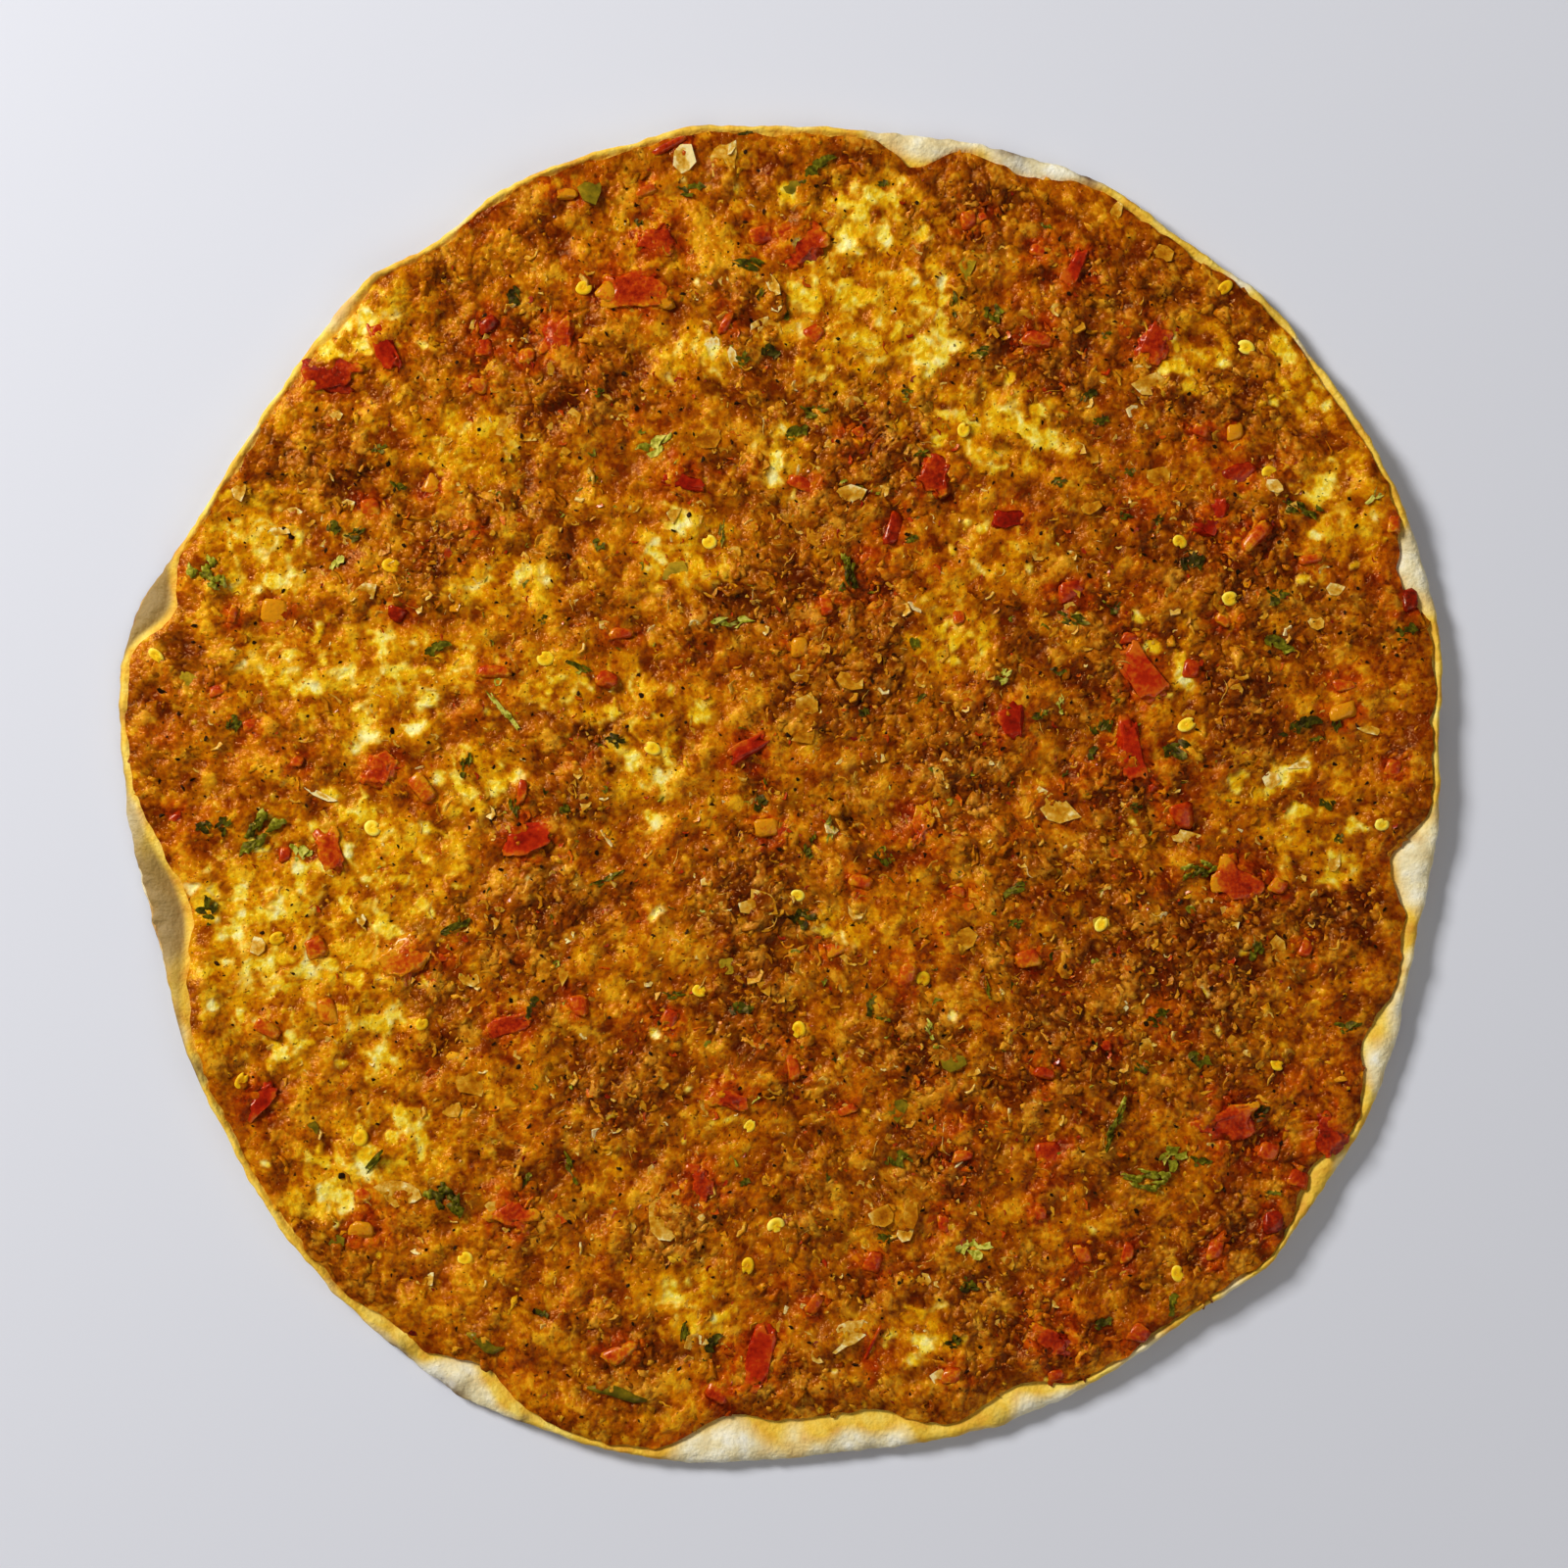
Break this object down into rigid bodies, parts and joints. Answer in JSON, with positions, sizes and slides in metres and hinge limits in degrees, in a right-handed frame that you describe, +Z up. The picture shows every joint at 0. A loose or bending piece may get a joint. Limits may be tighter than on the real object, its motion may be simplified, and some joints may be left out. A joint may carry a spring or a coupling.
{
  "type": "lahmacun",
  "caption": "Thin round flatbread with a curled uneven edge, spread with spiced mince and chopped tomato, pepper, onion and parsley.",
  "frame": {"origin": "middle of the flat underside of the bread, where it rests", "axes": "+Z up out of the topping, +Y away from the eater as it is served, +X to the right"},
  "size_m": [0.2789, 0.2822, 0.0081],
  "materials": {
    "bread": "baked flour dough, pale, dry and matt, oily at its edge",
    "mince": "baked minced meat in red pepper paste, moist and crumbly",
    "tomato": "soft baked tomato, moist",
    "red_pepper": "roasted red pepper with a glossy skin",
    "green_pepper": "roasted green pepper, olive and moist",
    "onion": "soft cooked onion, slightly see-through",
    "parsley": "wilted chopped parsley leaf"
  },
  "bodies": {
    "root": {"flatbread": "bread", "green_pepper_01": "green_pepper", "green_pepper_02": "green_pepper", "meat_topping": "mince", "onion_01": "onion", "onion_02": "onion", "onion_03": "onion", "onion_04": "onion", "onion_05": "onion", "onion_06": "onion", "onion_07": "onion", "onion_08": "onion", "onion_09": "onion", "parsley_01": "parsley", "parsley_02": "parsley", "parsley_03": "parsley", "parsley_04": "parsley", "parsley_05": "parsley", "parsley_06": "parsley", "parsley_07": "parsley", "parsley_08": "parsley", "pepper_01": "red_pepper", "pepper_02": "red_pepper", "pepper_03": "red_pepper", "pepper_04": "red_pepper", "pepper_05": "red_pepper", "pepper_06": "red_pepper", "pepper_07": "red_pepper", "pepper_08": "red_pepper", "pepper_09": "red_pepper", "pepper_10": "red_pepper", "pepper_11": "red_pepper", "pepper_12": "red_pepper", "tomato_01": "tomato", "tomato_02": "tomato", "tomato_03": "tomato", "tomato_04": "tomato", "tomato_05": "tomato", "tomato_06": "tomato", "tomato_07": "tomato", "tomato_08": "tomato", "tomato_09": "tomato", "tomato_10": "tomato", "tomato_11": "tomato", "tomato_12": "tomato", "tomato_13": "tomato", "tomato_14": "tomato", "tomato_15": "tomato", "tomato_16": "tomato", "tomato_17": "tomato", "tomato_18": "tomato", "tomato_19": "tomato"}
  },
  "joints": []
}
